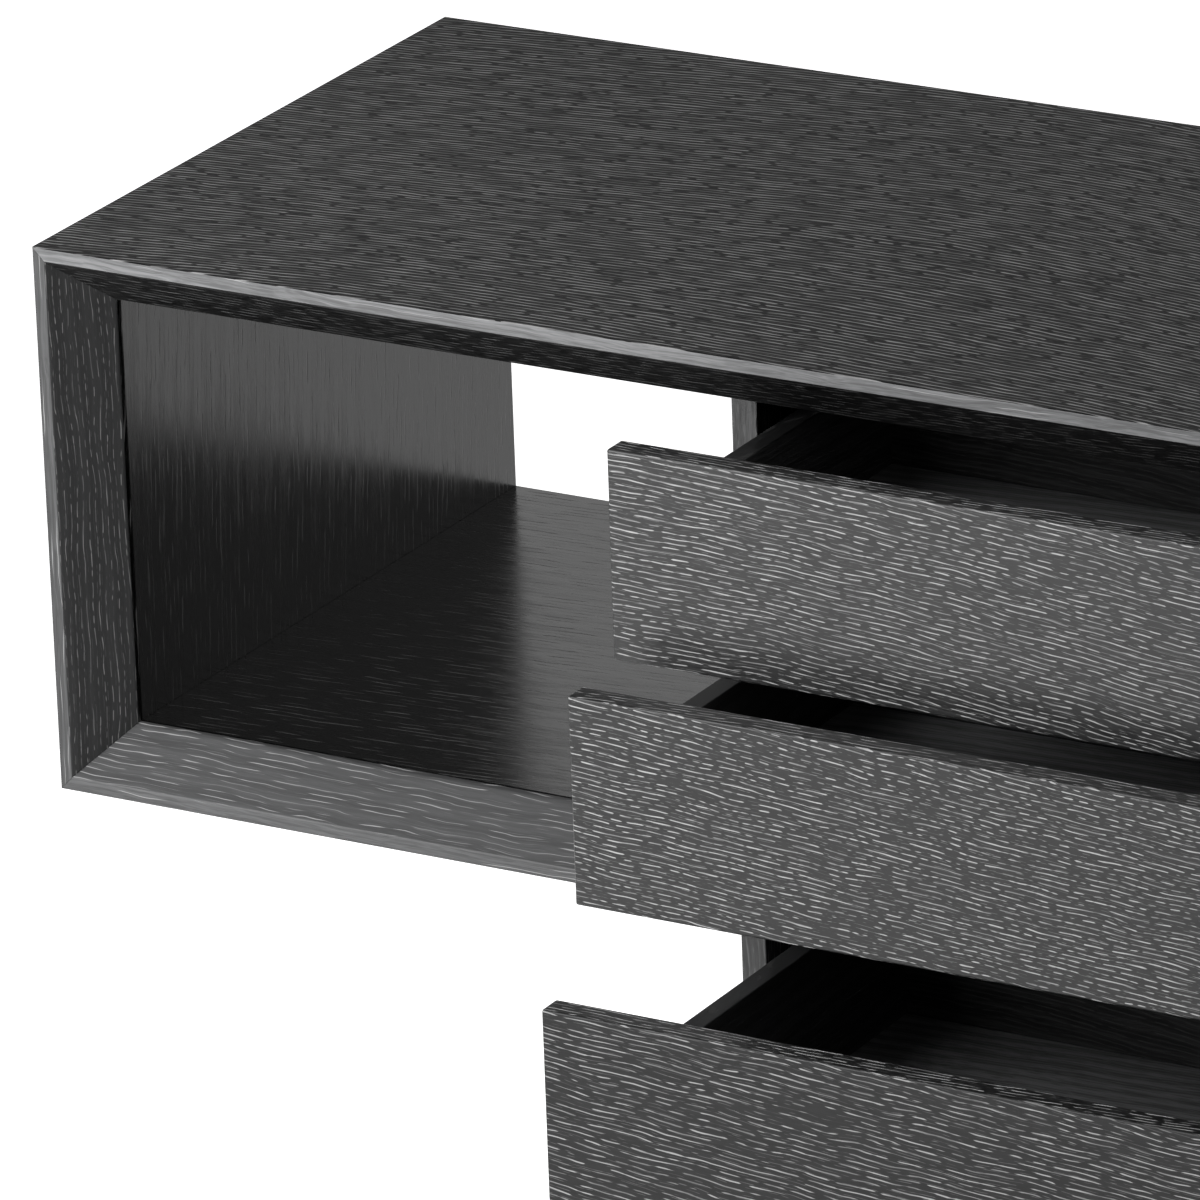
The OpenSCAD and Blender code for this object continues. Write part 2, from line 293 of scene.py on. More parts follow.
def grain_group():
    """Oak figure. Vector is in metres with x along the grain. Pores is 0 to 1 in the filled pores,
    Rings is the slow light and dark of the growth rings, and Fibre is the fine streaking."""
    group = bpy.data.node_groups.new("oak_figure", "ShaderNodeTree")
    face = group.interface
    face.new_socket("Vector", in_out="INPUT", socket_type="NodeSocketVector")
    for name in (*FIGURE_INPUTS, "Sway Middle"):
        face.new_socket(name, in_out="INPUT", socket_type="NodeSocketFloat")
    for name in ("Pores", "Rings", "Fibre"):
        face.new_socket(name, in_out="OUTPUT", socket_type="NodeSocketFloat")
    given = group.nodes.new("NodeGroupInput").outputs
    out = group.nodes.new("NodeGroupOutput").inputs

    where = given["Vector"]
    drift = centred(group, where, DRIFT_SCALE, ACROSS)
    wavy = added(group, where, enlarged(group, drift, given["Waver"]))
    wavy = added(group, wavy, centred(group, where, RIPPLE_SCALE, RIPPLE_REACH))
    wavy = added(group, wavy, centred(group, where, TREMOR_SCALE, TREMOR_REACH))
    parts = add_node(group, "ShaderNodeSeparateXYZ", {"Vector": wavy}).outputs
    along = parts["X"]
    taper = times(group, along, given["Heart Slope"])
    past_middle = maths(group, "SUBTRACT", along, given["Sway Middle"])
    turns = times(group, past_middle, 2 * math.pi / SWAY_LENGTH)
    sway = times(group, maths(group, "COSINE", turns), given["Sway"])
    taper = maths(group, "SUBTRACT", taper, sway)
    side = plus(group, plus(group, parts["Y"], given["Heart Side"]), taper)
    depth = plus(group, parts["Z"], given["Heart Depth"])
    radius = maths(group, "SQRT", plus(group, times(group, side, side), times(group, depth, depth)))
    rings = maths(group, "DIVIDE", radius, given["Ring Spacing"])
    patches = noise(group, scaled(group, wavy, PATCH_SCALE), detail=1.0).outputs["Fac"]
    rate, width = given["Dash Rate"], given["Dash Width"]
    fill = plus(group, given["Dash Fill"], spread(group, patches, -PATCH_FILL, PATCH_FILL))
    main = dash_layer(group, along, rings, rate, fill, width, MAIN_SEED)
    # The node's third input stays at its own 0.5, so the fine rings lie between the others
    fine_rings = maths(group, "MULTIPLY_ADD", rings, FINE_RINGS)
    fine = dash_layer(group, along, fine_rings, times(group, rate, FINE_RATE),
                      plus(group, fill, FINE_FILL), times(group, width, FINE_WIDTH), FINE_SEED)
    pores = maths(group, "MAXIMUM", main, times(group, fine, FINE_STRENGTH))
    wave = maths(group, "COSINE", times(group, rings, 2 * math.pi / RINGS_PER_BAND))
    bands = plus(group, times(group, wave, BAND_DEPTH), patches)
    fibre = noise(group, scaled(group, wavy, FIBRE_SCALE), detail=2.0).outputs["Fac"]
    between = maths(group, "COSINE", times(group, rings, 2 * math.pi))
    fibre = maths(group, "SUBTRACT", fibre, times(group, between, LINE_DEPTH))

    group.links.new(pores, out["Pores"])
    group.links.new(ramp(group, bands, BAND_DEPTH, 1.0 - BAND_DEPTH), out["Rings"])
    group.links.new(fibre, out["Fibre"])
    return group


OAK_FIGURE = grain_group()

# The turn that brings each grain direction to the figure's x
GRAIN_TURNS = {"x": (0.0, 0.0, 0.0), "x_front": (math.pi / 2, 0.0, 0.0),
               "y": (0.0, 0.0, -math.pi / 2), "z": (0.0, math.pi / 2, 0.0)}


def new_material(name):
    material = bpy.data.materials.new(name)
    material.use_nodes = True
    tree = material.node_tree
    tree.nodes.clear()
    output = tree.nodes.new("ShaderNodeOutputMaterial")
    shader = tree.nodes.new("ShaderNodeBsdfPrincipled")
    tree.links.new(shader.outputs["BSDF"], output.inputs["Surface"])
    return material, tree, shader


def mixed_colour(tree, factor, first, second):
    made = add_node(tree, "ShaderNodeMix", data_type="RGBA")
    tree.links.new(factor, made.inputs[0])
    colour_inputs = [socket for socket in made.inputs if socket.type == "RGBA"]
    for socket, value in zip(colour_inputs, (first, second)):
        if isinstance(value, bpy.types.NodeSocket):
            tree.links.new(value, socket)
        else:
            socket.default_value = (value, value, value, 1.0)
    return [socket for socket in made.outputs if socket.type == "RGBA"][0]


# Oak: ring shades, how far the roughness moves either way, and the depth of the pores in metres
RING_SHADES = (0.88, 1.12)
ROUGH_BELOW, ROUGH_ABOVE = 0.05, 0.06
FIBRE_HEIGHT = 0.35
PORE_DEPTH = 0.0003
# Beech, steel and plastic: noise scales in waves per metre, then the ranges they are spread over
BEECH_TINT = (0.42, 0.29, 0.17)
BEECH_FLECKS = (700.0, 120.0, 700.0)
BEECH_SHADES = (0.8, 1.1)
BEECH_ROUGH = (0.5, 0.65)
STEEL_BRUSHING = (900.0, 20.0, 900.0)
STEEL_CLOUDS = (40.0, 40.0, 40.0)
STEEL_SHADES = (0.9, 1.05)
STEEL_CLOUD_SHARE = 0.12
STEEL_ROUGH_BELOW, STEEL_ROUGH_ABOVE = 0.06, 0.08
PLASTIC_GRAIN = (1800.0, 1800.0, 1800.0)
PLASTIC_SHADES = (0.9, 1.1)
PLASTIC_ROUGH_REACH = 0.05
# The fittings' own tints and roughness
ZINC = {"tint": (0.56, 0.57, 0.58), "rough": 0.34}
SCREW_STEEL = {"tint": (0.42, 0.42, 0.44), "rough": 0.3}
NYLON = {"tint": (0.02, 0.02, 0.02), "rough": 0.5}
SILICONE = {"tint": (0.85, 0.87, 0.9), "rough": 0.12, "transmission": 1.0}


def oak(node, part, grain, seed, finish, **changes):
    """Stained oak with filled pores, in one of the finishes below. The figure is centred on the
    node, so the heart of the tree lies where the finish says, beside the board; seed moves the
    figure along the grain."""
    look = {**finish, **changes}
    material, tree, shader = new_material(f"{node}_{part}")
    where = add_node(tree, "ShaderNodeTexCoord").outputs["Object"]
    low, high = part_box(node)
    turn = Euler(GRAIN_TURNS[grain]).to_matrix()
    along = SEED_STEP * seed
    shift = Vector((along, 0.0, 0.0)) - turn @ ((Vector(low) + Vector(high)) / 2)
    aligned = add_node(tree, "ShaderNodeMapping",
                       {"Vector": where, "Rotation": GRAIN_TURNS[grain], "Location": shift},
                       vector_type="POINT").outputs["Vector"]
    figure = add_node(tree, "ShaderNodeGroup", node_tree=OAK_FIGURE)
    tree.links.new(aligned, figure.inputs["Vector"])
    for socket, key in FIGURE_INPUTS.items():
        figure.inputs[socket].default_value = look[key]
    figure.inputs["Heart Side"].default_value = look["side"] - along * look["slope"]
    figure.inputs["Sway Middle"].default_value = along + SWAY_MIDDLE
    fibre, rings, pores = (figure.outputs[key] for key in ("Fibre", "Rings", "Pores"))

    streak = look["streak"]
    tone = plus(tree, fibre, times(tree, maths(tree, "SUBTRACT", rings, 0.5), look["band"]))
    shade = times(tree, spread(tree, tone, 1 - streak, 1 + streak),
                  ramp(tree, rings, 0.0, 1.0, *RING_SHADES))
    ground = enlarged(tree, TINT, times(tree, shade, look["ground"]))
    tree.links.new(mixed_colour(tree, pores, ground, look["pore"]), shader.inputs["Base Color"])

    rough = look["rough"]
    base_rough = spread(tree, tone, rough - ROUGH_BELOW, rough + ROUGH_ABOVE)
    roughness = add_node(tree, "ShaderNodeMapRange",
                         {"Value": pores, "To Min": base_rough, "To Max": look["pore_rough"]})
    tree.links.new(roughness.outputs["Result"], shader.inputs["Roughness"])
    shader.inputs["Specular IOR Level"].default_value = look["specular"]

    height = maths(tree, "SUBTRACT", times(tree, fibre, FIBRE_HEIGHT), pores)
    relief = add_node(tree, "ShaderNodeBump",
                      {"Height": height, "Strength": look["bump"], "Distance": PORE_DEPTH})
    tree.links.new(relief.outputs["Normal"], shader.inputs["Normal"])
    return material


def wood(name):
    """Plain pale beech for the hidden dowels and tongues."""
    material, tree, shader = new_material(name)
    where = add_node(tree, "ShaderNodeTexCoord").outputs["Object"]
    flecks = noise(tree, scaled(tree, where, BEECH_FLECKS), detail=2.0).outputs["Fac"]
    colour = enlarged(tree, BEECH_TINT, spread(tree, flecks, *BEECH_SHADES))
    tree.links.new(colour, shader.inputs["Base Color"])
    tree.links.new(spread(tree, flecks, *BEECH_ROUGH), shader.inputs["Roughness"])
    return material


def steel(name, tint, rough):
    """Brushed plate with soft clouds."""
    material, tree, shader = new_material(name)
    where = add_node(tree, "ShaderNodeTexCoord").outputs["Object"]
    brushed = noise(tree, scaled(tree, where, STEEL_BRUSHING), detail=2.0).outputs["Fac"]
    clouds = noise(tree, scaled(tree, where, STEEL_CLOUDS), detail=3.0).outputs["Fac"]
    shade = plus(tree, spread(tree, brushed, *STEEL_SHADES), times(tree, clouds, STEEL_CLOUD_SHARE))
    tree.links.new(enlarged(tree, tint, shade), shader.inputs["Base Color"])
    dull = spread(tree, clouds, rough - STEEL_ROUGH_BELOW, rough + STEEL_ROUGH_ABOVE)
    tree.links.new(dull, shader.inputs["Roughness"])
    shader.inputs["Metallic"].default_value = 1.0
    return material


def plastic(name, tint, rough, transmission=0.0):
    """Moulded plastic or silicone with a fine grain."""
    material, tree, shader = new_material(name)
    where = add_node(tree, "ShaderNodeTexCoord").outputs["Object"]
    grain = noise(tree, scaled(tree, where, PLASTIC_GRAIN), detail=2.0).outputs["Fac"]
    colour = enlarged(tree, tint, spread(tree, grain, *PLASTIC_SHADES))
    tree.links.new(colour, shader.inputs["Base Color"])
    dull = spread(tree, grain, rough - PLASTIC_ROUGH_REACH, rough + PLASTIC_ROUGH_REACH)
    tree.links.new(dull, shader.inputs["Roughness"])
    shader.inputs["Transmission Weight"].default_value = transmission
    return material


# ---------- finishes of the wood ----------

TINT = (0.99, 1.0, 1.02)
SEED_STEP = 2.37

# A finish gives the figure (ring spacing in metres, place and slope of the heart, dashes per metre,
# their fill and width, waver and sway), the greys of the ground and the pores, the strength of the
# streaks, bands and relief, and the roughness of the ground and the pores.
FIGURE = {"spacing": 0.0032, "side": 0.30, "depth": 0.04, "slope": -0.06, "rate": 110.0,
          "fill": 0.36, "width": 0.12, "waver": 0.045, "sway": 0.0, "streak": 0.12, "band": 0.05,
          "bump": 0.3, "pore_rough": 0.8}
STRAIGHT = {"side": 0.04, "depth": 0.35}
STRAIGHT_SLOPE = 0.01
FRONT = {**FIGURE, "ground": 0.011, "pore": 0.36, "rough": 0.33}
# The lower drawers' fronts, with their pores painted darker: painted shade
SHADED_LOWER_FRONT = {**FRONT, "pore": 0.29}
TOP = {**FIGURE, "ground": 0.007, "pore": 0.29, "rough": 0.6, "specular": 0.10, "side": 0.45,
       "slope": 0.0, "waver": 0.06, "sway": 0.033, "spacing": 0.0038, "fill": 0.23, "width": 0.16,
       "streak": 0.8, "band": 0.2}
OUTER = {**FIGURE, "ground": 0.020, "pore": 0.30, "rough": 0.45, "specular": 0.5, "side": 0.5}
# The inner faces of the box and the dividers: the same oak as the outer faces, with a near-black
# ground and dim pores painted where the bay is in shade
SHADED_INNER = {**FIGURE, "ground": 0.001, "pore": 0.085, "rough": 0.22, "specular": 0.46, "side": 0.5,
         "streak": 0.7, "band": 0.25, "bump": 0.25, "pore_rough": 0.5, "width": 0.11, "rate": 45.0,
         "fill": 0.47, "spacing": 0.0045}
BEVEL = {**FIGURE, "rough": 0.4, "fill": 0.39, "side": 0.35, "width": 0.085, "waver": 0.02,
         "slope": STRAIGHT_SLOPE}
LIPPING = {**FIGURE, **STRAIGHT, "pore": 0.30, "rough": 0.5, "specular": 0.4, "fill": 0.52,
           "spacing": 0.0030, "rate": 24.0, "width": 0.08, "streak": 0.3, "slope": STRAIGHT_SLOPE,
           "waver": 0.015}
UPRIGHT = {**FIGURE, **STRAIGHT, "ground": 0.022, "pore": 0.10, "rough": 0.36, "specular": 0.42,
           "fill": 0.46, "streak": 0.7, "slope": STRAIGHT_SLOPE}
DARK = {**FIGURE, "ground": 0.022, "pore": 0.045, "rough": 0.45, "specular": 0.22, "side": 0.4,
        "streak": 0.4, "band": 0.2}
# The drawer bottoms: the drawer boxes' oak painted several times lighter, painted light where light
# reaches into the drawers
LIT_DRAWER_FLOOR = {**DARK, "ground": 0.16, "pore": 0.24}
PLINTH = {**DARK, "ground": 0.014}
# Changes for the narrow edges of a board
NARROW = {**STRAIGHT, "pore": 0.45, "slope": STRAIGHT_SLOPE, "width": 0.13}
# Changes for each board of the box. The bevels' grounds, pores and sheens are painted light and
# shade: the bottom board's upward bevel is painted lighter, the top board's downward bevel and the
# ends' bevels darker.
SHADED_END_BEVEL = {"ground": 0.018, "pore": 0.15, "rate": 185.0, "specular": 0.26}
LIT_AND_SHADED_BEVELS = {"top_panel": {"ground": 0.004, "pore": 0.12, "rate": 90.0, "specular": 0.16},
          "bottom_panel": {"ground": 0.050, "pore": 0.28, "rate": 48.0, "specular": 0.3},
          "left_end_panel": SHADED_END_BEVEL, "right_end_panel": SHADED_END_BEVEL}
BEVEL_HEART = 0.35
# The lippings are paler edging wood and also painted light: the top board's lipping is painted
# lighter than the bottom board's and the ends'
LIPPING_WOOD_AND_PAINTED_LIGHT = {"top_panel": 0.12, "bottom_panel": 0.06, "left_end_panel": 0.046,
                   "right_end_panel": 0.046}
# Changes for each drawer's front. The sheens are painted shade: the lower drawers' fronts are made
# duller than the upper ones, where less light falls.
DASH_RATES = {1: 145.0, 2: 175.0, 3: 110.0, 4: 140.0}
FRONT_SHEENS_PAINTED_SHADE = {1: 0.47, 2: 0.38, 3: 0.25, 4: 0.25}


# ---------- pieces ----------

def finish_piece(piece, node, body, materials):
    for material in materials:
        piece.data.materials.append(material)
    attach(piece, body)
    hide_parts(node)


# The outline corner where a board's bevel meets its inner face
INNER_CORNER = 3
# Each face slot of a board, in the order of its outline's sides
BOARD_FACE_SLOTS = [0, 4, 1, 2, 3]
# Seeds only have to differ from one face and node to the next
FACE_SEED_STEP = 10
EDGE_SEED_STEP = 4
DRAWER_SEEDS = {"front": 40, "edges": 41, "sides": 60, "ends": 70, "bottom": 80}
FRONT_SEED_STEP = 3


def build_box():
    """The four mitred boards of the long box."""
    low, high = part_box("top_panel")
    box_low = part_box("bottom_panel")[0].z
    thick = high.z - low.z
    half_width = (high.x - low.x) / 2
    half_height = (high.z - box_low) / 2
    middle = (high.z + box_low) / 2
    front, back = low.y, high.y
    outline = [(front, 0), (back, 0), (back, thick), (front + BEVEL_DEPTH, thick),
               (front, EDGE_WIDTH)]

    def mitred(half):
        return lambda y, t: (t - half, half - t)

    boards = {
        "top_panel": (half_width, "x", -BEVEL_HEART, lambda s, y, t: Vector((s, y, high.z - t))),
        "bottom_panel": (half_width, "x", BEVEL_HEART, lambda s, y, t: Vector((s, y, box_low + t))),
        "left_end_panel": (half_height, "z", -BEVEL_HEART,
                           lambda s, y, t: Vector((t - half_width, y, middle + s))),
        "right_end_panel": (half_height, "z", BEVEL_HEART,
                            lambda s, y, t: Vector((half_width - t, y, middle + s))),
    }
    for seed, (node, (half, grain, bevel_depth, place)) in enumerate(boards.items(), 1):
        piece = add_board(node + "_wood", outline, mitred(half), place, end_arris=MITRE_ARRIS,
                          face_slots=BOARD_FACE_SLOTS, soft_corners=[INNER_CORNER])
        faces = [("outer", TOP if node == "top_panel" else OUTER, {}),
                 ("inner", SHADED_INNER, {}),
                 ("bevel", BEVEL, {"depth": bevel_depth, **LIT_AND_SHADED_BEVELS[node]}),
                 ("lipping", LIPPING, {"ground": LIPPING_WOOD_AND_PAINTED_LIGHT[node]}),
                 ("back_edge", OUTER, NARROW)]
        materials = [oak(node, part, grain, seed + FACE_SEED_STEP * k, finish, **changes)
                     for k, (part, finish, changes) in enumerate(faces)]
        finish_piece(piece, node, "carcass", materials)


def build_upright(node, panel_node, seed, finish):
    """A divider or a side of the base, grooved for the edge of its back panel."""
    low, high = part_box(node)
    panel_low, panel_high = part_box(panel_node)
    on_right = low.x > 0
    face, far = (low.x, high.x) if on_right else (high.x, low.x)
    groove = panel_high.x if on_right else panel_low.x
    outline = grooved(face, far, low.y, high.y, panel_low.y, panel_high.y, groove)
    front_strip, back_edge = 0, 2
    face_slots = [1 if k in (front_strip, back_edge) else 0 for k in range(len(outline))]
    piece = add_board(node + "_wood", outline, lambda u, v: (low.z, high.z), along_z,
                      end_arris=MITRE_ARRIS, face_slots=face_slots)
    materials = [oak(node, "faces", "z", seed, finish),
                 oak(node, "edges", "z", seed + EDGE_SEED_STEP, UPRIGHT)]
    finish_piece(piece, node, "carcass", materials)


def build_flat(node, body, axis, materials, arris=ARRIS):
    """A plain board with rounded arrises that fills its CAD box, swept along its length. A second
    material goes to its narrow faces."""
    low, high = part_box(node)
    sweeps = {"x": (along_x, rectangle(low.y, low.z, high.y, high.z), (low.x, high.x)),
              "y": (along_y, rectangle(low.x, low.z, high.x, high.z), (low.y, high.y))}
    place, outline, ends = sweeps[axis]
    narrow = len(materials) - 1
    flat_first = abs(outline[1][0] - outline[0][0]) > abs(outline[2][1] - outline[1][1])
    face_slots = [0, narrow, 0, narrow] if flat_first else [narrow, 0, narrow, 0]
    piece = add_board(node + "_wood", outline, lambda u, v: ends, place, arris=arris,
                      face_slots=face_slots)
    finish_piece(piece, node, body, materials)


def build_carcass():
    build_box()
    for seed, side in ((5, "left"), (6, "right")):
        build_upright(side + "_divider", "upper_back_panel", seed, SHADED_INNER)
        build_upright(f"base_{side}_side", "base_back_panel", seed + 2, OUTER)
    for seed, node in enumerate(("base_top_board", "base_bottom_board"), 9):
        build_flat(node, "carcass", "x", [oak(node, "oak", "x", seed, PLINTH)])
    uprights = ("upper_back_panel", "base_back_panel", "plinth_front", "plinth_back")
    for seed, node in enumerate(uprights, 11):
        build_flat(node, "carcass", "x", [oak(node, "oak", "x_front", seed, PLINTH)])
    for seed, node in enumerate(("plinth_left_side", "plinth_right_side", "plinth_brace"), 15):
        build_flat(node, "carcass", "y", [oak(node, "oak", "y", seed, PLINTH, **STRAIGHT)])


def build_drawer(n):
    body = f"drawer_{n}"
    front = f"drawer_{n}_front"
    # The lower drawers' fronts take the copy with darker pores and a duller sheen, painted shade
    finish = {**(FRONT if n in (1, 2) else SHADED_LOWER_FRONT), "specular": FRONT_SHEENS_PAINTED_SHADE[n]}
    front_seed, edge_seed = (DRAWER_SEEDS[key] + FRONT_SEED_STEP * n for key in ("front", "edges"))
    front_oaks = [oak(front, "oak", "x_front", front_seed, finish, rate=DASH_RATES[n]),
                  oak(front, "edges", "x_front", edge_seed, finish, **NARROW)]
    build_flat(front, body, "x", front_oaks, arris=FRONT_ARRIS)
    bottom = f"drawer_{n}_bottom"
    bottom_low, bottom_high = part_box(f"drawer_{n}_bottom")
    lengthways = oak(f"drawer_{n}_left_side", "oak", "y", DRAWER_SEEDS["sides"] + n, DARK, **STRAIGHT)
    crossways = oak(f"drawer_{n}_back", "oak", "x_front", DRAWER_SEEDS["ends"] + n, DARK)
    # The bottom is painted lighter than the sides: painted light
    lit_floor_oak = oak(bottom, "oak", "x", DRAWER_SEEDS["bottom"] + n, LIT_DRAWER_FLOOR)
    build_flat(bottom, body, "x", [lit_floor_oak], arris=MITRE_ARRIS)
    for side in ("left", "right"):
        node = f"drawer_{n}_{side}_side"
        low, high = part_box(node)
        on_left = side == "left"
        face, far = (high.x, low.x) if on_left else (low.x, high.x)
        groove = bottom_low.x if on_left else bottom_high.x
        outline = grooved(face, far, low.z, high.z, bottom_low.z, bottom_high.z, groove)
        piece = add_board(node + "_wood", outline, lambda u, v: (low.y, high.y), along_y)
        finish_piece(piece, node, body, [lengthways])
    for end in ("box_front", "back"):
        node = f"drawer_{n}_{end}"
        low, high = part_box(node)
        at_front = end == "box_front"
        face, far = (high.y, low.y) if at_front else (low.y, high.y)
        groove = bottom_low.y if at_front else bottom_high.y
        outline = grooved(face, far, low.z, high.z, bottom_low.z, bottom_high.z, groove)
        piece = add_board(node + "_wood", outline, lambda u, v: (low.x, high.x), along_x,
                          end_arris=MITRE_ARRIS)
        finish_piece(piece, node, body, [crossways])


# ---------- fittings ----------

def solids(node):
    """The lowest and highest corner of each separate solid of a CAD node."""
    bm = bmesh.new()
    bm.from_mesh(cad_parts[node].data)
    bmesh.ops.remove_doubles(bm, verts=bm.verts, dist=SAME_POINT)
    boxes, seen = [], set()
    for start in bm.verts:
        if start in seen:
            continue
        group, waiting = [], [start]
        seen.add(start)
        while waiting:
            vert = waiting.pop()
            group.append(vert.co.copy())
            for edge in vert.link_edges:
                other = edge.other_vert(vert)
                if other not in seen:
                    seen.add(other)
                    waiting.append(other)
        boxes.append((Vector(map(min, zip(*group))), Vector(map(max, zip(*group)))))
    bm.free()
    return sorted(boxes, key=lambda box: tuple(box[0]))


def recess_depth(x, y):
    """How deep a cross recess is at a point of a screw's head."""
    radius = math.hypot(x, y)
    in_cross = min(abs(x), abs(y)) < RECESS_WIDTH / 2 and radius < RECESS_RADIUS
    return RECESS_DEPTH * (1 - radius / RECESS_RADIUS) ** 0.5 if in_cross else 0.0


def circle(radius):
    """The points of one ring of a turned part, or the single point in its middle."""
    if not radius:
        return [(0.0, 0.0)]
    angles = [2 * math.pi * k / TURN_STEPS for k in range(TURN_STEPS)]
    return [(radius * math.cos(a), radius * math.sin(a)) for a in angles]


def turned(name, profile, spots, recessed=False):
    """One mesh of equal parts turned about their own z axis. profile lists (radius, height) from
    the bottom up and each spot is the matrix that puts a part in the CAD frame."""
    bm = bmesh.new()
    for spot in spots:
        rings = []
        for radius, height in profile:
            dig = recess_depth if recessed and height > 0 else lambda x, y: 0.0
            rings.append([bm.verts.new(spot @ Vector((x, y, height - dig(x, y))))
                          for x, y in circle(radius)])
        for lower, upper in zip(rings, rings[1:]):
            for k in range(TURN_STEPS):
                corners = [lower[k % len(lower)], lower[(k + 1) % len(lower)],
                           upper[(k + 1) % len(upper)], upper[k % len(upper)]]
                bm.faces.new(list(dict.fromkeys(corners)))
    bmesh.ops.recalc_face_normals(bm, faces=bm.faces)
    mesh = bpy.data.meshes.new(name)
    bm.to_mesh(mesh)
    bm.free()
    mesh.shade_smooth()
    mesh.set_sharp_from_angle(angle=SHARP_ANGLE)
    return link(name, mesh)


def head_profile(radius, height):
    """The domed head of a screw, with rings close enough together for its recess."""
    rise = [HEAD_RIM + (1 - HEAD_RIM) * math.sin(math.pi / 2 * k / HEAD_RINGS)
            for k in range(HEAD_RINGS)]
    domed = [(radius * (1 - k / HEAD_RINGS), height * rise[k]) for k in range(HEAD_RINGS)]
    return [(0.0, 0.0), (radius, 0.0), *domed, (0.0, height)]


def build_front_screws(n, material):
    node = f"drawer_{n}_front_screws"
    low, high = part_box(node)
    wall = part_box(f"drawer_{n}_box_front")[1].y
    head_r = min(b[1].x - b[0].x for b in solids(node)) / 2
    forwards = Matrix.Rotation(math.radians(-90), 4, "X")
    spots = [Matrix.Translation(Vector((x, wall, z))) @ forwards
             for x in (low.x + head_r, high.x - head_r) for z in (low.z + head_r, high.z - head_r)]
    reach = wall - low.y
    shank = [(0.0, -reach), (BLUNT_RADIUS, -reach + BLUNT_LENGTH),
             (SHANK_RADIUS, -reach + POINT_LENGTH), (SHANK_RADIUS, 0.0)]
    head = head_profile(head_r, high.y - wall)[1:]
    piece = turned(node + "_turned", shank + head, spots, recessed=True)
    finish_piece(piece, node, f"drawer_{n}", [material])


def build_carcass_screws(material):
    node = "carcass_screws"
    top_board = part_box("base_top_board")[0].z
    head_down = Matrix.Rotation(math.pi, 4, "X")
    spots = []
    for low, high in solids(node):
        middle = (low + high) / 2
        upright = Matrix.Translation(Vector((middle.x, middle.y, high.z)))
        upside_down = Matrix.Translation(Vector((middle.x, middle.y, low.z))) @ head_down
        spots.append(upright if high.z < top_board else upside_down)
    low, high = solids(node)[0]
    head_r, length = (high.x - low.x) / 2, high.z - low.z
    cone = [(0.0, -length), (SHANK_RADIUS, -length + POINT_LENGTH),
            (SHANK_RADIUS, -head_r * COUNTERSINK), (head_r, -RIM_HEIGHT)]
    flat = [(head_r * (1 - k / HEAD_RINGS), -FLUSH) for k in range(HEAD_RINGS)]
    piece = turned(node + "_turned", cone + flat + [(0.0, -FLUSH)], spots)
    finish_piece(piece, node, "carcass", [material])


def build_rails(node, body, zinc, screw=None, web_outside=True):
    """Bent channel rails, with a row of screws in each web where the rail is fixed to wood."""
    heads = []
    for k, (low, high) in enumerate(solids(node)):
        on_right = low.x > 0
        web, lip = (high.x, low.x) if on_right == web_outside else (low.x, high.x)
        inwards = 1 if lip > web else -1
        back = web + inwards * RAIL_SHEET
        inner_low, inner_high = low.z + RAIL_SHEET, high.z - RAIL_SHEET
        outline = [(web, low.z), (lip, low.z), (lip, inner_low), (back, inner_low),
                   (back, inner_high), (lip, inner_high), (lip, high.z), (web, high.z)]
        piece = add_board(f"{node}_channel_{k + 1}", outline, lambda u, v: (low.y, high.y), along_y,
                          arris=RAIL_ARRIS)
        finish_piece(piece, node, body, [zinc])
        turn = Matrix.Rotation(math.radians(90 * inwards), 4, "Y")
        length, middle = high.y - low.y, (low.z + high.z) / 2
        heads += [Matrix.Translation(Vector((back, low.y + share * length, middle))) @ turn
                  for share in RAIL_SCREW_PLACES]
    if screw:
        head = head_profile(RAIL_HEAD_RADIUS, RAIL_HEAD_HEIGHT)
        piece = turned(node + "_screws", head, heads, recessed=True)
        finish_piece(piece, node, body, [screw])


def build_bumpers(material):
    node = "closing_bumpers"
    boxes = solids(node)
    radius, height = (boxes[0][1].x - boxes[0][0].x) / 2, boxes[0][1].y - boxes[0][0].y
    forwards = Matrix.Rotation(math.radians(90), 4, "X")
    spots = [Matrix.Translation(Vector(((b.x + t.x) / 2, t.y, (b.z + t.z) / 2))) @ forwards
             for b, t in boxes]
    angles = [math.pi / 2 * k / HEAD_RINGS for k in range(HEAD_RINGS)]
    dome = [(radius * math.cos(a), height * (PAD_RIM + (1 - PAD_RIM) * math.sin(a))) for a in angles]
    piece = turned(node + "_turned", [(0.0, 0.0), (radius, 0.0), *dome, (0.0, height)], spots)
    finish_piece(piece, node, "carcass", [material])


def build_glides(material):
    node = "floor_glides"
    boxes = solids(node)
    low, high = boxes[0]
    radius, length = (high.x - low.x) / 2, high.z - low.z
    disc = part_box("plinth_front")[0].z - low.z
    edge_share, edge_height = GLIDE_EDGE
    profile = [(0.0, 0.0), (radius * GLIDE_FOOT, 0.0), (radius * edge_share, disc * edge_height),
               (radius, disc * GLIDE_SHOULDER), (radius, disc), (GLIDE_PIN_RADIUS, disc),
               (GLIDE_PIN_RADIUS, length - GLIDE_POINT), (0.0, length)]
    spots = [Matrix.Translation(Vector(((b.x + t.x) / 2, (b.y + t.y) / 2, b.z)))
             for b, t in boxes]
    piece = turned(node + "_turned", profile, spots)
    finish_piece(piece, node, "carcass", [material])


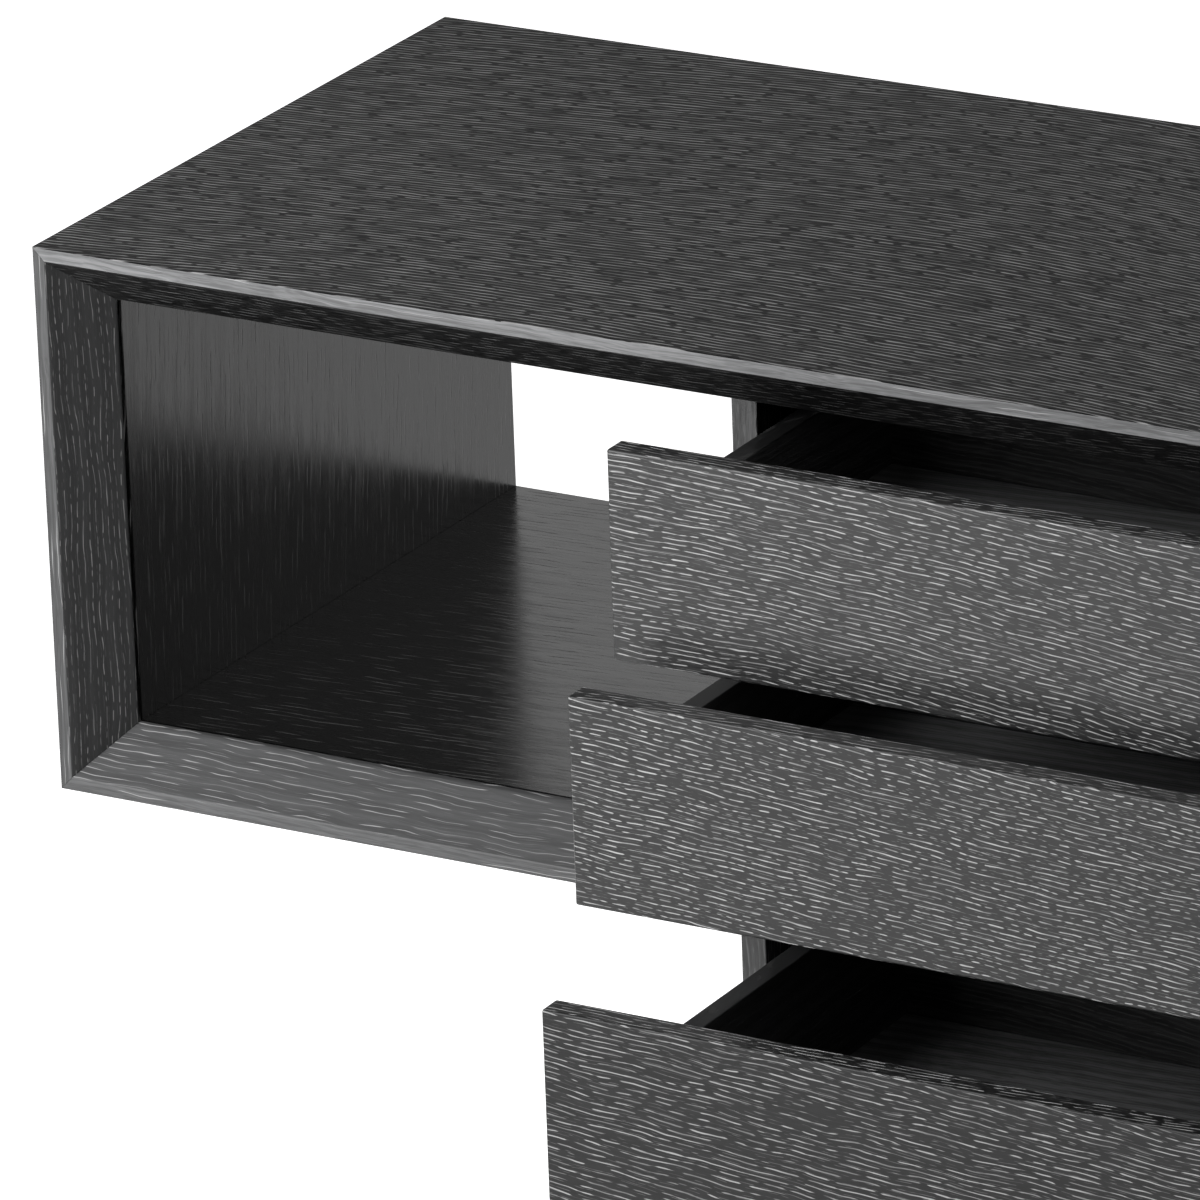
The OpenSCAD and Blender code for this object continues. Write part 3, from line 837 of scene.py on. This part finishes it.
def build_fittings():
    zinc = steel("zinc_plate", **ZINC)
    screw = steel("screw_plate", **SCREW_STEEL)
    beech = wood("beech")
    for node in ("mitre_splines", "carcass_dowels"):
        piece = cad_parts[node]
        piece.data.materials.clear()
        piece.data.materials.append(beech)
    build_carcass_screws(screw)
    build_glides(plastic("glide_nylon", **NYLON))
    build_bumpers(plastic("bumper_silicone", **SILICONE))
    for node in ("upper_cabinet_rails", "lower_cabinet_rails"):
        build_rails(node, "carcass", zinc, screw)
    for n in DRAWERS:
        build_rails(f"drawer_{n}_middle_rails", f"drawer_{n}_slide_middles", zinc)
        build_rails(f"drawer_{n}_runners", f"drawer_{n}", zinc, screw, web_outside=False)
        build_front_screws(n, screw)


# ---------- stage ----------

FLOOR_HALF = 30.0
FLOOR_SEEN = 1.0
FLOOR_LIGHT = 0.40
FLOOR_BLEND = 0.5
FLOOR_GREY = (0.85, 0.85, 0.85, 1.0)
FLOOR_ROUGH = 0.9
WHITE = (1.0, 1.0, 1.0, 1.0)
BACKDROP_LIGHT = 0.85
BACKDROP_SIDE = (0.1, 0.45)
BACKDROP_TOP = (0.75, 0.45)
ROOM_LIGHT = 0.020
# Azimuth and elevation in degrees, distance and size in metres, power in watts
SOFTBOXES = {"key": (42, 18, 2.2, (1.5, 1.4), 46),
             "overhead": (53, 53, 2.6, (2.0, 2.0), 14),
             "fill": (-45, 35, 3.0, (2.0, 2.0), 18)}

CAMERA_AIM = Vector((-0.599, -0.132, 0.567))
CAMERA_DISTANCE = 6.431
CAMERA_YAW = 30.56
CAMERA_PITCH = 20.73
CAMERA_ROLL = -2.09
CAMERA_LENS = 349.5
CAMERA_SENSOR = 36.0
CAMERA_REACH = 200.0


def seen_or_lit(tree, seen, lit):
    """One value for what the camera sees and another for the light that the stage gives."""
    path = add_node(tree, "ShaderNodeLightPath")
    return ramp(tree, path.outputs["Is Camera Ray"], 0.0, 1.0, lit, seen)


def add_floor():
    bm = bmesh.new()
    bmesh.ops.create_grid(bm, x_segments=1, y_segments=1, size=FLOOR_HALF)
    mesh = bpy.data.meshes.new("studio_floor")
    bm.to_mesh(mesh)
    bm.free()
    floor = link("studio_floor", mesh)
    material, tree, shader = new_material("floor_paper")
    shader.inputs["Base Color"].default_value = FLOOR_GREY
    shader.inputs["Roughness"].default_value = FLOOR_ROUGH
    shader.inputs["Emission Color"].default_value = WHITE
    where = add_node(tree, "ShaderNodeTexCoord").outputs["Object"]
    parts = add_node(tree, "ShaderNodeSeparateXYZ", {"Vector": where}).outputs
    lit = ramp(tree, parts["Y"], -FLOOR_BLEND, FLOOR_BLEND, FLOOR_LIGHT, BACKDROP_LIGHT)
    tree.links.new(seen_or_lit(tree, FLOOR_SEEN, lit), shader.inputs["Emission Strength"])
    mesh.materials.append(material)


def add_softbox(name, azimuth, elevation, distance, size, power):
    """A soft light that looks at the table. Azimuth 0 is in front and 90 on the left."""
    centre = (CAD_LOW + CAD_HIGH) / 2
    a, e = math.radians(azimuth), math.radians(elevation)
    towards = Vector((-math.sin(a) * math.cos(e), -math.cos(a) * math.cos(e), math.sin(e)))
    data = bpy.data.lights.new(name, "AREA")
    data.shape = "RECTANGLE"
    data.size, data.size_y = size
    data.energy = power
    lamp = link(name, data)
    lamp.location = centre + towards * distance
    lamp.rotation_euler = (-towards).to_track_quat("-Z", "Y").to_euler()


def add_world():
    """Pale behind the table, where the polished faces mirror it, and dim everywhere else."""
    world = bpy.data.worlds.new("studio")
    world.use_nodes = True
    tree = world.node_tree
    tree.nodes.clear()
    where = add_node(tree, "ShaderNodeTexCoord").outputs["Generated"]
    parts = add_node(tree, "ShaderNodeSeparateXYZ", {"Vector": where}).outputs
    behind = ramp(tree, parts["Y"], *BACKDROP_SIDE)
    low = ramp(tree, parts["Z"], *BACKDROP_TOP)
    backdrop = times(tree, times(tree, behind, low), BACKDROP_LIGHT - ROOM_LIGHT)
    strength = seen_or_lit(tree, 1.0, plus(tree, backdrop, ROOM_LIGHT))
    sky = add_node(tree, "ShaderNodeBackground", {"Color": WHITE, "Strength": strength})
    out = tree.nodes.new("ShaderNodeOutputWorld")
    tree.links.new(sky.outputs[0], out.inputs["Surface"])
    bpy.context.scene.world = world


def add_camera():
    data = bpy.data.cameras.new("camera")
    data.sensor_width = CAMERA_SENSOR
    data.lens = CAMERA_LENS
    data.clip_end = CAMERA_REACH
    camera = link("camera", data)
    turn = (Matrix.Rotation(math.radians(CAMERA_YAW), 4, "Z")
            @ Matrix.Rotation(math.radians(90.0 - CAMERA_PITCH), 4, "X")
            @ Matrix.Rotation(math.radians(CAMERA_ROLL), 4, "Z"))
    backwards = turn.col[2].to_3d()
    camera.matrix_world = Matrix.Translation(CAMERA_AIM + backwards * CAMERA_DISTANCE) @ turn
    bpy.context.scene.camera = camera


build_carcass()
for number in DRAWERS:
    build_drawer(number)
build_fittings()
add_floor()
for name, setting in SOFTBOXES.items():
    add_softbox(name, *setting)
add_world()
add_camera()
bpy.context.scene.view_settings.view_transform = "Standard"
